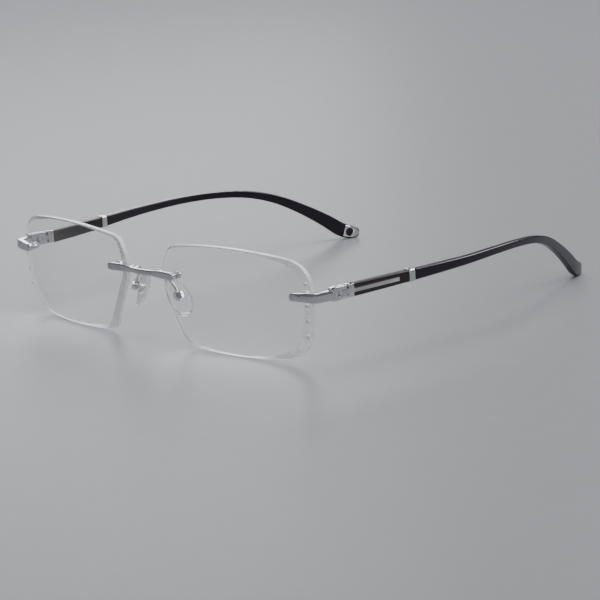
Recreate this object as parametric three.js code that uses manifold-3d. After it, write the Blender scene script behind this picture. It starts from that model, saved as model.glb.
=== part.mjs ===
// Rimless eyeglasses: two drilled lenses, a bridge bar, two endpieces, adjustable nose pads and folding temples.
// Millimetres, +Z up. The wearer's left is +X, the temples run back along +Y, and the origin is on the resting
// surface under the middle of the glasses. Each half is built once, on the +X side, and the other is its mirror.
import * as THREE from "three";
import { mergeVertices } from "three/addons/utils/BufferGeometryUtils.js";
import Module from "manifold-3d";

const wasm = await Module();
wasm.setup();

// ---- Driving dimensions ----
const fitGap = 0.05; // between pieces that touch
const pinGap = 0.05; // radial clearance of a pin that turns in its hole

const lens = {
  centre: new THREE.Vector3(34.5, -72.95, 15.1), // apex of the front surface
  wrap: 6.9, // degrees that the lens turns round the face
  tilt: 4.1, // degrees that its top leans forward
  frontRadius: 131.7,
  backRadius: 120,
  thickness: 2.0,
  blankRadius: 36,
  backPlane: -58,
  foot: 0.04, // ground off the lowest edge, which stands on it
};
// The outline's corners seen from the front: place, how far the rounding reaches along each side, and the bevel there.
// bow and sideBevel belong to the side that leads to the next corner.
const lensCorners = [
  { x: 6.85, z: 21.6, reach: 4.8, bevel: 1.1, bow: 0.2, sideBevel: 1.5 },
  { x: 15.7, z: 0.7, reach: 3.2, bevel: 1.9, bow: 1.3, sideBevel: 0.6 },
  { x: 60.9, z: 1.7, reach: 9.6, bevel: 2.2, bow: 0.9, sideBevel: 1.75 },
  { x: 61.85, z: 30.0, reach: 7.6, bevel: 1.5, bow: 2.4, sideBevel: 0.25 },
  { x: 11.1, z: 30.8, reach: 2.6, bevel: 0.7, bow: 0.15, sideBevel: 0.8 },
];
const outerSide = 2; // the side that runs up from the lower outer corner
const sideSteps = 7;
const cornerSteps = 5;

// Each stud runs back from the lens's front surface by its length. The cap nut is blind beyond its boreEnd.
const stud = { radius: 0.6, length: 3.9, sleeve: 0.95, hole: 1.0 };
const washer = { radius: 1.35, thick: 0.35 };
const nut = { radius: 1.05, length: 1.5, boreEnd: 4.1 };
const bridge = { half: 14.2, z: 21.8, thick: 1.3, padHeight: 2.3, neckHeight: 1.6, arch: 0.15, bow: 0.9, studX: 12.7 };
const endpiece = { studX: 59.4, z: 20.8, thick: 1.2, height: 2.8, endHeight: 2.3, end: 57.1, corner: 65.75 };
const hinge = { x: 65.5, y: -57.2, low: 19.0, high: 22.9, inner: 64.4, outer: 66.8, slotLow: 20.15, slotHigh: 21.75 };
const hingeScrew = { radius: 0.55, head: 0.9, headDeep: 0.4 };
const forkDepth = 1.85; // how far the fork reaches before and behind the hinge's axis
const temple = { start: -52.05, ringStart: -30.1, ringEnd: -27.8, tang: 0.55, tangLength: 9, spigot: 3.5 };
const inlay = { length: 18, height: 1.3, sunk: 0.3, proud: 0.06 };
const gemHeights = [24.4, 17.9, 13.2, 8.5];
const gemRadius = 0.65;
const padScrew = { radius: 0.4, head: 0.7, behind: 0.55 };
const middleShift = 0.41; // brings the middle of the whole depth to the origin

// ---- Materials ----
const finish = (color, roughness, metalness, opacity = 1) => () =>
  new THREE.MeshStandardMaterial({ color, roughness, metalness, opacity, transparent: opacity < 1 });
const silver = finish(0xd8d9dc, 0.18, 1);
const black = finish(0x0e0c12, 0.3, 0);
const clearLens = finish(0xe8eef2, 0.03, 0, 0.3);
const clearPad = finish(0xe4e6e8, 0.25, 0, 0.5);
const clearSleeve = finish(0xdfe4e6, 0.3, 0, 0.6);
const stone = finish(0xf4f6fa, 0.05, 0.2);

// ---- Helpers ----
const vec = (x, y, z) => new THREE.Vector3(x, y, z);
const radians = THREE.MathUtils.degToRad;

// A closed geometry as a solid, with its faces turned outwards.
function solid(geometry, matrix = new THREE.Matrix4()) {
  const bare = new THREE.BufferGeometry();
  bare.setAttribute("position", geometry.getAttribute("position").clone());
  bare.setIndex(geometry.getIndex());
  bare.applyMatrix4(matrix);
  const merged = mergeVertices(bare, 1e-4);
  const index = merged.getIndex().array;
  const triangles = [];
  for (let i = 0; i < index.length; i += 3) {
    const [a, b, c] = [index[i], index[i + 1], index[i + 2]];
    if (a !== b && b !== c && c !== a) triangles.push(a, b, c);
  }
  const build = (triVerts) =>
    new wasm.Manifold(
      new wasm.Mesh({
        numProp: 3,
        vertProperties: new Float32Array(merged.getAttribute("position").array),
        triVerts: new Uint32Array(triVerts),
      }),
    );
  const made = build(triangles);
  return made.volume() < 0 ? build(triangles.reverse()) : made;
}

function geometryOf(body) {
  const { numProp, vertProperties, triVerts } = body.getMesh();
  const count = vertProperties.length / numProp;
  const position = new Float32Array(count * 3);
  for (let i = 0; i < count; i++) position.set(vertProperties.subarray(i * numProp, i * numProp + 3), i * 3);
  const geometry = new THREE.BufferGeometry();
  geometry.setAttribute("position", new THREE.BufferAttribute(position, 3));
  geometry.setIndex(new THREE.BufferAttribute(new Uint32Array(triVerts), 1));
  geometry.computeVertexNormals();
  return geometry;
}

const union = (...bodies) => bodies.reduce((a, b) => a.add(b));

// Rings of the same number of points, skinned and closed at both ends.
function loft(rings, startTip, endTip) {
  const sides = rings[0].length;
  const points = rings.flat();
  const middle = (ring) => ring.reduce((sum, p) => sum.add(p), vec(0, 0, 0)).divideScalar(sides);
  const first = points.push(startTip ?? middle(rings[0])) - 1;
  const last = points.push(endTip ?? middle(rings[rings.length - 1])) - 1;
  const base = (rings.length - 1) * sides;
  const faces = [];
  for (let s = 0; s < sides; s++) {
    const n = (s + 1) % sides;
    faces.push(first, n, s, last, base + s, base + n);
    for (let r = 0; r < rings.length - 1; r++) {
      const a = r * sides;
      const b = a + sides;
      faces.push(a + s, a + n, b + s, a + n, b + n, b + s);
    }
  }
  const geometry = new THREE.BufferGeometry().setFromPoints(points);
  geometry.setIndex(faces);
  return solid(geometry);
}

// A ring of a rounded section: square is 2 for an ellipse and more for a squarer one.
function ring(centre, across, up, width, height, square = 5, sides = 12) {
  return Array.from({ length: sides }, (_, i) => {
    const angle = ((i + 0.5) / sides) * 2 * Math.PI;
    const bend = (value) => Math.sign(value) * Math.abs(value) ** (2 / square);
    return centre
      .clone()
      .addScaledVector(across, (bend(Math.cos(angle)) * width) / 2)
      .addScaledVector(up, (bend(Math.sin(angle)) * height) / 2);
  });
}

// A smooth line through stations of [x, y, z, width, height], with the size along it.
function pathOf(stations) {
  return {
    line: new THREE.CatmullRomCurve3(stations.map(([x, y, z]) => vec(x, y, z))),
    sizes: new THREE.CatmullRomCurve3(stations.map(([, , , width, height]) => vec(width, height, 0))),
  };
}

// The place and directions at a share of a line: along it, across it and level, and up square to both.
function placeOn(line, share) {
  const along = line.getTangent(share);
  const across = along.clone().cross(vec(0, 0, 1)).normalize();
  return { at: line.getPoint(share), along, across, up: across.clone().cross(along).normalize() };
}

// A bar along a stretch of a path: its sections are the path's sizes, times scale, plus grow.
function barAlong(path, start, end, steps, { scale = 1, grow = 0 } = {}) {
  const rings = Array.from({ length: steps + 1 }, (_, i) => {
    const share = start + ((end - start) * i) / steps;
    const { at, across, up } = placeOn(path.line, share);
    const size = path.sizes.getPoint(share).multiplyScalar(scale);
    return ring(at, across, up, size.x + grow, size.y + grow);
  });
  return loft(rings);
}

// A turned piece whose axis starts at a point and runs in a direction. The profile is [radius, distance] pairs.
function turned(profile, from, direction, sides = 20) {
  const shape = new THREE.LatheGeometry(
    profile.map(([r, y]) => new THREE.Vector2(r, y)),
    sides,
  );
  const turn = new THREE.Quaternion().setFromUnitVectors(vec(0, 1, 0), direction.clone().normalize());
  return solid(shape, new THREE.Matrix4().compose(from, turn, vec(1, 1, 1)));
}

const rod = (radius, from, direction, start, end, sides) =>
  turned(
    [
      [0, start],
      [radius, start],
      [radius, end],
      [0, end],
    ],
    from,
    direction,
    sides,
  );

const tube = (inner, outer, from, direction, start, end, sides) =>
  turned(
    [
      [inner, start],
      [outer, start],
      [outer, end],
      [inner, end],
      [inner, start],
    ],
    from,
    direction,
    sides,
  );

function block(low, high) {
  const size = high.clone().sub(low);
  const middle = high.clone().add(low).divideScalar(2);
  return solid(
    new THREE.BoxGeometry(size.x, size.y, size.z),
    new THREE.Matrix4().makeTranslation(middle.x, middle.y, middle.z),
  );
}

// A flat outline in a plane's own two directions, thickened along the third, with a small bevel all round.
function plate(outline, thickness, matrix, bevel = 0, steps = 6) {
  const shape = new THREE.ExtrudeGeometry(outline, {
    depth: thickness - 2 * bevel,
    bevelEnabled: bevel > 0,
    bevelThickness: bevel,
    bevelSize: bevel,
    bevelOffset: -bevel,
    bevelSegments: 2,
    curveSegments: steps,
  });
  return solid(shape, matrix.clone().multiply(new THREE.Matrix4().makeTranslation(0, 0, bevel)));
}

const root = new THREE.Group();
root.position.y = middleShift;
const left = new THREE.Group();
const right = new THREE.Group();
right.scale.x = -1;
root.add(left, right);

function addMesh(group, name, body, material) {
  const mesh = new THREE.Mesh(geometryOf(body), material());
  mesh.name = name;
  group.add(mesh);
}

function addPair(name, body, material) {
  addMesh(left, "left_" + name, body, material);
  addMesh(right, "right_" + name, body, material);
}

// ---- Lenses ----
const lensAxis = vec(
  Math.sin(radians(lens.wrap)) * Math.cos(radians(lens.tilt)),
  -Math.cos(radians(lens.wrap)) * Math.cos(radians(lens.tilt)),
  -Math.sin(radians(lens.tilt)),
);
const frontCentre = lens.centre.clone().addScaledVector(lensAxis, -lens.frontRadius);

// The point of the lens's front surface behind x, z, and the way that the surface faces there.
function onFront(x, z) {
  const dx = x - frontCentre.x;
  const dz = z - frontCentre.z;
  return vec(x, frontCentre.y - Math.sqrt(lens.frontRadius ** 2 - dx * dx - dz * dz), z);
}
const frontNormal = (point) => point.clone().sub(frontCentre).normalize();

const lensSides = lensCorners.map((corner, i) => {
  const next = lensCorners[(i + 1) % lensCorners.length];
  const start = new THREE.Vector2(corner.x, corner.z);
  const end = new THREE.Vector2(next.x, next.z);
  const along = end.clone().sub(start).normalize();
  const control = start
    .clone()
    .add(end)
    .divideScalar(2)
    .addScaledVector(new THREE.Vector2(along.y, -along.x), 2 * corner.bow);
  return new THREE.QuadraticBezierCurve(start, control, end);
});

// The bevel's width at a share t of the way along a side: full at the corners, less between them.
function bevelWidth(side, t) {
  const { bevel, sideBevel } = lensCorners[side];
  const nearest = t < 0.5 ? bevel : lensCorners[(side + 1) % lensCorners.length].bevel;
  return sideBevel + (nearest - sideBevel) * (2 * t - 1) ** 2;
}

// The outline's points, each with its bevel.
function lensOutline() {
  const nearby = 0.03; // a side's point this close to a rounding is left out
  const count = lensCorners.length;
  const points = [];
  lensCorners.forEach((corner, i) => {
    const before = lensSides[(i + count - 1) % count];
    const after = lensSides[i];
    const next = lensCorners[(i + 1) % count];
    const leave = corner.reach / after.getLength();
    const arrive = 1 - next.reach / after.getLength();
    const rounding = new THREE.QuadraticBezierCurve(
      before.getPoint(1 - corner.reach / before.getLength()),
      new THREE.Vector2(corner.x, corner.z),
      after.getPoint(leave),
    );
    for (let k = 0; k <= cornerSteps; k++)
      points.push({ at: rounding.getPoint(k / cornerSteps), bevel: corner.bevel });
    for (let k = 1; k < sideSteps; k++) {
      const t = k / sideSteps;
      if (t > leave + nearby && t < arrive - nearby) points.push({ at: after.getPoint(t), bevel: bevelWidth(i, t) });
    }
  });
  return points;
}

// How far back a bevel of a width reaches.
const bevelDepth = (width) => 0.3 + 0.38 * width;

function makeLens() {
  const outline = lensOutline();
  const floor = Math.min(...outline.map((p) => p.at.y)) + lens.foot;
  const count = outline.length;
  const bevelStart = [];
  const bevelEnd = [];
  const back = [];
  outline.forEach(({ at, bevel }, i) => {
    const previous = outline[(i + count - 1) % count].at;
    const following = outline[(i + 1) % count].at;
    const along = following.clone().sub(previous).normalize();
    const z = at.y - floor;
    const inner = onFront(at.x - along.y * bevel, z + along.x * bevel);
    const edge = onFront(at.x, z).setY(onFront(at.x, z).y + bevelDepth(bevel));
    bevelStart.push(inner.clone().multiplyScalar(2).sub(edge));
    bevelEnd.push(edge);
    back.push(vec(at.x, lens.backPlane, z));
  });
  const ahead = lens.centre.clone().add(vec(0, -25, 0));
  const cut = loft([bevelStart, bevelEnd, back], ahead);

  const sag = (radius, r) => radius - Math.sqrt(radius * radius - r * r);
  const steps = 7;
  const profile = [];
  for (let i = 0; i <= steps; i++) {
    const r = (lens.blankRadius * i) / steps;
    profile.push([r, sag(lens.frontRadius, r)]);
  }
  for (let i = steps; i >= 0; i--) {
    const r = (lens.blankRadius * i) / steps;
    profile.push([r, lens.thickness + sag(lens.backRadius, r)]);
  }
  const blank = turned(profile, lens.centre, lensAxis.clone().negate(), 40);
  return blank.intersect(cut).subtract(block(vec(0, -90, -5), vec(80, -50, 0)));
}

// Where a stud goes through the lens: the point on the front surface and the way back through it.
function studAt(x, z) {
  const point = onFront(x, z);
  return { point, back: frontNormal(point).negate() };
}
const bridgeStud = studAt(bridge.studX, bridge.z);
const endStud = studAt(endpiece.studX, endpiece.z);

// A point in the middle of the outer bevel at a height, and the way that the bevel faces there.
function onOuterBevel(z) {
  const low = lensCorners[outerSide];
  const high = lensCorners[outerSide + 1];
  const t = (z - low.z) / (high.z - low.z);
  const edge = lensSides[outerSide].getPoint(t);
  const width = bevelWidth(outerSide, t);
  const front = onFront(edge.x - width / 2, z);
  const normal = frontNormal(front);
  const outward = vec(1, 0, 0).addScaledVector(normal, -normal.x).normalize();
  return {
    point: front.addScaledVector(normal, -bevelDepth(width) / 2),
    normal: outward.multiplyScalar(bevelDepth(width)).addScaledVector(normal, width).normalize(),
  };
}

let lensBody = makeLens();
for (const { point, back } of [bridgeStud, endStud]) {
  lensBody = lensBody.subtract(rod(stud.hole, point, back, -2, 6));
}
gemHeights.forEach((z, i) => {
  const { point, normal } = onOuterBevel(z);
  const [bottom, girdle, top] = [-0.3, 0.08, 0.32];
  const crown = turned(
    [
      [0, bottom],
      [gemRadius, bottom],
      [gemRadius, girdle],
      [gemRadius * 0.55, top],
      [0, top],
    ],
    point,
    normal,
    10,
  );
  lensBody = lensBody.subtract(rod(gemRadius + fitGap, point, normal, bottom - fitGap, 2, 10));
  addPair("gem_" + (i + 1), crown, stone);
});
addPair("lens", lensBody, clearLens);

// ---- Sleeve, washer and cap nut on each stud ----
function addFixings(name, { point, back }) {
  const bore = stud.radius + pinGap;
  const fromCentre = point.distanceTo(lens.centre);
  const growth = (fromCentre ** 2 / 2) * (1 / lens.backRadius - 1 / lens.frontRadius);
  const lensBack = lens.thickness + growth + fitGap;
  const washerStart = lensBack + fitGap;
  const nutStart = washerStart + washer.thick + fitGap;
  const nutEnd = nutStart + nut.length;
  const domeHeight = 0.35;
  addPair(name + "_bush", tube(bore, stud.sleeve, point, back, fitGap, lensBack - 2 * fitGap), clearSleeve);
  addPair(name + "_washer", tube(bore, washer.radius, point, back, washerStart, nutStart - fitGap), clearSleeve);
  const cap = turned(
    [
      [bore, nutStart],
      [nut.radius, nutStart],
      [nut.radius, nutEnd - domeHeight],
      [nut.radius * 0.7, nutEnd],
      [0, nutEnd],
      [0, nut.boreEnd],
      [bore, nut.boreEnd],
      [bore, nutStart],
    ],
    point,
    back,
    16,
  );
  addPair(name + "_nut", cap, silver);
}
addFixings("bridge", bridgeStud);
addFixings("endpiece", endStud);

// A metal stud whose root is inside the bar in front of the lens.
const studRoot = -0.7;
const studOf = ({ point, back }) => rod(stud.radius, point, back, studRoot, stud.length);

// ---- Bridge ----
// The bar's section at x: a pad flat on each lens, and a lower neck that bows forward between them.
function bridgeStation(x) {
  const neckEnd = bridge.half - 6;
  const reach = Math.abs(x);
  const lensFace = onFront(Math.max(reach, neckEnd), bridge.z).y - fitGap - bridge.thick / 2;
  const inward = 1 - Math.min(reach / neckEnd, 1);
  const ease = inward * inward * (3 - 2 * inward);
  const rise = Math.cos(((reach / bridge.half) * Math.PI) / 2);
  const neck = Math.min(1, inward * 2.2);
  const height = bridge.padHeight + (bridge.neckHeight - bridge.padHeight) * neck;
  return [x, lensFace - bridge.bow * ease, bridge.z + bridge.arch * rise, bridge.thick, height];
}

function makeBridge() {
  // The rounded ends, from the very end inwards: how far in, and the share of the full height.
  const roundings = [
    [0, 0.45],
    [0.3, 0.86],
  ];
  const endStation = (side, [inset, share]) => {
    const [x, y, z, width, height] = bridgeStation(side * (bridge.half - inset));
    return [x, y, z, width * (0.6 + 0.4 * share), height * share];
  };
  const gaps = 12;
  const straight = bridge.half - 1.3;
  const stations = [
    ...roundings.map((rounding) => endStation(-1, rounding)),
    ...Array.from({ length: gaps + 1 }, (_, i) => bridgeStation(-straight + (2 * straight * i) / gaps)),
    ...roundings.map((rounding) => endStation(1, rounding)).reverse(),
  ];
  let body = barAlong(pathOf(stations), 0, 1, 36);

  // On each side a stud through the lens, and a lug that bears on the lens's inner edge.
  const lugEnd = lensCorners[0].x - 0.2;
  const lugStart = lugEnd - 0.9;
  for (const side of [-1, 1]) {
    const flip = (v) => vec(v.x * side, v.y, v.z);
    const y = bridgeStation(lugEnd)[1];
    const xs = [lugStart * side, lugEnd * side];
    const lug = block(
      vec(Math.min(...xs), y, bridge.z - 0.6),
      vec(Math.max(...xs), y + 2.5, bridge.z + 0.8),
    );
    body = union(body, studOf({ point: flip(bridgeStud.point), back: flip(bridgeStud.back) }), lug);
  }
  return body;
}
addMesh(root, "bridge", makeBridge(), silver);

// ---- Nose pads ----
// The pad's own frame: long runs up the pad towards the nose, wide runs back along it, and face looks at the nose.
const pad = {
  centre: vec(8.0, -66.7, 14.0),
  length: 13.5,
  width: 7.6,
  thick: 1.9,
  boxGap: 0.75, // between the pad's outer face and the box
};
const padLong = vec(-0.44, -0.2, 0.87).normalize();
const padFace = vec(-0.8, 0.42, -0.3).projectOnPlane(padLong).normalize();
const padWide = padLong.clone().cross(padFace);
const padFrame = new THREE.Matrix4().makeBasis(padWide, padLong, padFace).setPosition(pad.centre);
const boxOut = -(pad.thick / 2 + pad.boxGap);
const boxSize = { wide: 2.0, long: 2.3, deep: 1.7, wall: 0.45 };

function inPadFrame(x0, x1, y0, y1, z0, z1) {
  const box = new THREE.BoxGeometry(x1 - x0, y1 - y0, z1 - z0);
  box.translate((x0 + x1) / 2, (y0 + y1) / 2, (z0 + z1) / 2);
  return solid(box, padFrame);
}

function addNosePad() {
  // The soft body's layers, from its back to its face: the level and the share of the full outline.
  const sides = 24;
  const layers = [
    [-0.5, 0.72],
    [-0.38, 0.9],
    [-0.1, 1.0],
    [0.2, 0.97],
    [0.42, 0.82],
    [0.5, 0.55],
  ];
  const rings = (lift) =>
    layers.map(([level, scale]) =>
      Array.from({ length: sides }, (_, i) => {
        const angle = (i / sides) * 2 * Math.PI;
        const narrow = 1 - 0.16 * Math.sin(angle);
        const x = (Math.cos(angle) * narrow * pad.width * scale) / 2;
        const y = (Math.sin(angle) * pad.length * (1 - (1 - scale) * 0.6)) / 2;
        const curve = -0.012 * y * y;
        return vec(x, y, level * pad.thick + curve + lift).applyMatrix4(padFrame);
      }),
    );
  const raise = 0.25; // of the pad's curved body over its frame
  const back = raise - pad.thick / 2;
  const seat = { wide: 1.6, long: 2.6, deep: 0.75 };
  const soft = loft(rings(raise));
  const seatCut = inPadFrame(-seat.wide, seat.wide, -seat.long, seat.long, back - 2, back + seat.deep);
  addPair("nose_pad", soft.subtract(seatCut), clearPad);

  // Core: a bar sunk in the pad, and a tab that goes into the box.
  const [barWide, barLong] = [seat.wide - fitGap, seat.long - fitGap];
  const bar = inPadFrame(-barWide, barWide, -barLong, barLong, back + 0.15, back + seat.deep - fitGap);
  const tab = inPadFrame(-0.45, 0.45, -0.8, 0.8, boxOut - 1.15, back + 0.2);
  const screwAt = pad.centre.clone().addScaledVector(padFace, boxOut - padScrew.behind);
  const hole = rod(padScrew.radius + pinGap, screwAt, padWide, -3, 3, 12);
  addPair("pad_core", union(bar, tab).subtract(hole), silver);

  const half = boxSize.wide / 2;
  const outer = inPadFrame(-half, half, -boxSize.long / 2, boxSize.long / 2, boxOut - boxSize.deep, boxOut);
  const inside = half - boxSize.wall;
  const slot = inPadFrame(-inside, inside, -3, 3, boxOut - boxSize.deep + boxSize.wall, boxOut + 2);
  addPair("pad_box", outer.subtract(slot).subtract(hole), silver);

  const headHeight = 0.4;
  const screw = turned(
    [
      [0, -half - fitGap],
      [padScrew.radius, -half - fitGap],
      [padScrew.radius, half + fitGap],
      [padScrew.head, half + fitGap],
      [padScrew.head, half + headHeight],
      [0, half + headHeight],
    ],
    screwAt,
    padWide,
    12,
  );
  addPair("pad_screw", screw, silver);
}
addNosePad();

// The wire leaves the bar's back face, bends down and ends on top of the box.
function addPadArm() {
  const wireRadius = 0.48;
  const alongside = (out, along) =>
    pad.centre
      .clone()
      .addScaledVector(padFace, boxOut - boxSize.deep + out)
      .addScaledVector(padLong, along);
  const x = 4.7;
  const y = bridgeStation(x)[1] + bridge.thick / 2 + 0.15;
  const line = new THREE.CatmullRomCurve3([
    vec(x, y, bridge.z),
    vec(x, y + 1.6, bridge.z + 0.1),
    vec(x + 0.4, y + 3.4, bridge.z - 0.1),
    vec(x + 1.5, y + 4.9, bridge.z - 1.3),
    alongside(1.1, 3.4),
    alongside(0.85, boxSize.long / 2 + 0.15),
  ]);
  const wire = new THREE.ExtrudeGeometry(new THREE.Shape().absarc(0, 0, wireRadius, 0, 2 * Math.PI), {
    steps: 26,
    bevelEnabled: false,
    extrudePath: line,
    curveSegments: 4,
  });
  addPair("pad_arm", solid(wire), silver);
}
addPadArm();

// ---- Endpieces ----
const sideStart = hinge.y - 3.7; // where the hinge fork begins
const seenFromSide = (x) =>
  new THREE.Matrix4().makeBasis(vec(0, 1, 0), vec(0, 0, 1), vec(1, 0, 0)).setPosition(x, 0, 0);
const hingeAxis = vec(hinge.x, hinge.y, 0);
const upright = vec(0, 0, 1);
const hingeHole = rod(hingeScrew.radius + pinGap, hingeAxis, upright, 10, 30);

// A bar along the lens, a crisp corner, and a side that runs back to the hinge, as seen from above.
function endpiecePlan() {
  const inside = hinge.inner + 0.1;
  const outside = hinge.outer - 0.1;
  const ahead = (x, lift) => {
    const face = onFront(x, endpiece.z);
    return face.addScaledVector(frontNormal(face), lift);
  };
  const inner = [56.4, 58.5, 60.6, 62.7].map((x) => ahead(x, fitGap));
  const outer = [62.4, 60.3, 58.2, 56.1].map((x) => ahead(x, fitGap + endpiece.thick));
  const slope = (outer[0].y - outer[1].y) / (outer[0].x - outer[1].x);
  const plan = new THREE.Shape();
  plan.moveTo(inner[0].x, inner[0].y);
  inner.slice(1).forEach((p) => plan.lineTo(p.x, p.y));
  plan.lineTo(inside, inner[3].y + 1.2);
  plan.lineTo(inside, sideStart + 0.6);
  plan.lineTo(outside, sideStart + 0.6);
  plan.lineTo(endpiece.corner, outer[0].y + (endpiece.corner - outer[0].x) * slope);
  outer.forEach((p) => plan.lineTo(p.x, p.y));
  return plan;
}

// From the front it narrows a little to a rounded end.
function endpieceFace(low, high) {
  const [farSide, full] = [70, 64];
  const half = endpiece.endHeight / 2;
  const { end, z } = endpiece;
  const face = new THREE.Shape();
  face.moveTo(farSide, low - 1);
  face.lineTo(farSide, high + 1);
  face.lineTo(full, high);
  face.lineTo(end + 1, z + half);
  face.quadraticCurveTo(end, z + half, end, z);
  face.quadraticCurveTo(end, z - half, end + 1, z - half);
  face.lineTo(full, low);
  face.lineTo(farSide, low - 1);
  return face;
}

// The hinge fork seen from the side: an open C, its mouth to the back.
function forkShape() {
  const forkEnd = hinge.y + forkDepth;
  const fork = new THREE.Shape();
  fork.moveTo(sideStart, hinge.low);
  fork.lineTo(forkEnd, hinge.low);
  fork.lineTo(forkEnd, hinge.slotLow);
  fork.lineTo(hinge.y - forkDepth, hinge.slotLow);
  fork.lineTo(hinge.y - forkDepth, hinge.slotHigh);
  fork.lineTo(forkEnd, hinge.slotHigh);
  fork.lineTo(forkEnd, hinge.high);
  fork.lineTo(sideStart, hinge.high);
  return fork;
}

function addEndpiece() {
  const low = endpiece.z - endpiece.height / 2;
  const high = endpiece.z + endpiece.height / 2;
  const fromAbove = new THREE.Matrix4().makeTranslation(0, 0, low);
  const fromFront = new THREE.Matrix4().makeBasis(vec(1, 0, 0), vec(0, 0, 1), vec(0, -1, 0)).setPosition(0, -50, 0);
  const bar = plate(endpiecePlan(), endpiece.height, fromAbove, 0.15).intersect(
    plate(endpieceFace(low, high), 40, fromFront),
  );
  const lug = block(vec(62.7, -67.2, endpiece.z - 0.8), vec(64.9, -65.4, endpiece.z + 0.8));
  const clevis = plate(forkShape(), hinge.outer - hinge.inner, seenFromSide(hinge.inner), 0.12);
  const headSeat = rod(hingeScrew.head + pinGap, hingeAxis, upright, hinge.high - hingeScrew.headDeep - fitGap, 30);
  const body = union(bar, studOf(endStud), lug, clevis).subtract(hingeHole).subtract(headSeat);
  addPair("endpiece", body, silver);
}
addEndpiece();

function addHingeScrew() {
  const bottom = hinge.low + fitGap;
  const headLow = hinge.high - hingeScrew.headDeep;
  const top = hinge.high + fitGap;
  const screw = turned(
    [
      [0, bottom],
      [hingeScrew.radius, bottom],
      [hingeScrew.radius, headLow],
      [hingeScrew.head, headLow],
      [hingeScrew.head, hinge.high - fitGap],
      [hingeScrew.head - 0.15, top],
      [0, top],
    ],
    hingeAxis,
    upright,
  );
  const slotHalf = 0.13;
  const slot = block(
    vec(hinge.x - 2, hinge.y - slotHalf, hinge.high - 0.15),
    vec(hinge.x + 2, hinge.y + slotHalf, hinge.high + 1),
  );
  addPair("hinge_screw", screw.subtract(slot), silver);
}
addHingeScrew();

// ---- Temples ----
// The temple's line from the hinge to the tip: x, y, z, width, height.
const templeStations = [
  [65.35, -52.1, 20.85, 2.5, 4.1],
  [66.6, -38.5, 21.0, 2.5, 3.85],
  [67.65, -27.5, 21.15, 2.5, 3.45],
  [68.8, -16, 21.45, 2.4, 3.0],
  [69.3, -5, 21.65, 2.3, 2.6],
  [68.5, 9, 21.85, 2.2, 2.3],
  [66.3, 23, 21.4, 2.1, 2.2],
  [63.3, 35, 19.95, 2.1, 2.4],
  [60.0, 45, 17.0, 2.1, 2.95],
  [56.7, 54.5, 12.3, 2.1, 3.6],
  [53.9, 62.5, 7.4, 2.1, 4.35],
  [51.7, 68.8, 3.1, 2.1, 4.8],
  [50.3, 72.3, 1.9, 2.0, 4.4],
  [49.5, 74.2, 1.5, 1.7, 3.1],
  [49.2, 74.9, 1.4, 1.3, 1.6],
];
const templePath = pathOf(templeStations);
const tipEnd = 74.9;
const spigotScale = 0.55; // the spigot's section against the temple's

// The share of the temple's line at a distance back, found by halving.
function shareAt(y) {
  let low = 0;
  let high = 1;
  for (let i = 0; i < 40; i++) {
    const middle = (low + high) / 2;
    if (templePath.line.getPoint(middle).y < y) low = middle;
    else high = middle;
  }
  return (low + high) / 2;
}

// A length of the temple between two distances back.
const templeLength = (from, to, steps, change) => barAlong(templePath, shareAt(from), shareAt(to), steps, change);
const spigotBetween = (from, to, grow = 0) => templeLength(from, to, 2, { scale: spigotScale, grow });

// The round tang that runs from the joint into the black front length.
function tang(grow) {
  const from = templePath.line.getPoint(shareAt(temple.start));
  const to = templePath.line.getPoint(shareAt(temple.start + temple.tangLength));
  const end = temple.tangLength + grow * 3;
  return rod(temple.tang + grow, from, to.clone().sub(from).normalize(), -1, end, 10);
}

// A strip along the temple's outer face, from a depth inside that face to a height over it.
function strip(from, to, tall, sunk, proud) {
  const steps = 6;
  const [start, end] = [shareAt(from), shareAt(to)];
  const rings = Array.from({ length: steps + 1 }, (_, i) => {
    const share = start + ((end - start) * i) / steps;
    const { at, across, up } = placeOn(templePath.line, share);
    const half = templePath.sizes.getPoint(share).x / 2;
    const corner = (out, rise) => at.clone().addScaledVector(across, half + out).addScaledVector(up, rise);
    return [corner(-sunk, -tall / 2), corner(proud, -tall / 2), corner(proud, tall / 2), corner(-sunk, tall / 2)];
  });
  return loft(rings);
}

// Joint: a tongue round the screw, a block as tall as the temple, and the tang.
function addJoint() {
  const nose = 1.2;
  const tongueGap = 0.06;
  const blockStart = hinge.y + 2.7;
  const blockEnd = temple.start - 0.2;
  const tongueEnd = new THREE.Shape();
  tongueEnd.moveTo(hinge.y, hinge.x - nose);
  tongueEnd.lineTo(temple.start - 2, hinge.inner);
  tongueEnd.lineTo(temple.start - 2, hinge.outer);
  tongueEnd.lineTo(hinge.y, hinge.outer - fitGap);
  tongueEnd.absarc(hinge.y, hinge.x, nose, Math.PI / 2, (3 * Math.PI) / 2, false);
  const flat = new THREE.Matrix4().makeBasis(vec(0, 1, 0), vec(1, 0, 0), vec(0, 0, -1));
  flat.setPosition(0, 0, hinge.slotHigh - tongueGap);
  const tongue = plate(tongueEnd, hinge.slotHigh - hinge.slotLow - 2 * tongueGap, flat);
  const blockShape = new THREE.Shape();
  blockShape.moveTo(blockStart, hinge.low);
  blockShape.lineTo(blockEnd, hinge.low);
  blockShape.lineTo(blockEnd, hinge.high);
  blockShape.lineTo(blockStart, hinge.high);
  const shoulder = plate(blockShape, hinge.outer - hinge.inner + 0.2, seenFromSide(hinge.inner - 0.15), 0.12);
  addPair("temple_joint", union(tongue, shoulder, tang(0)).subtract(hingeHole), silver);
}
addJoint();

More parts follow.
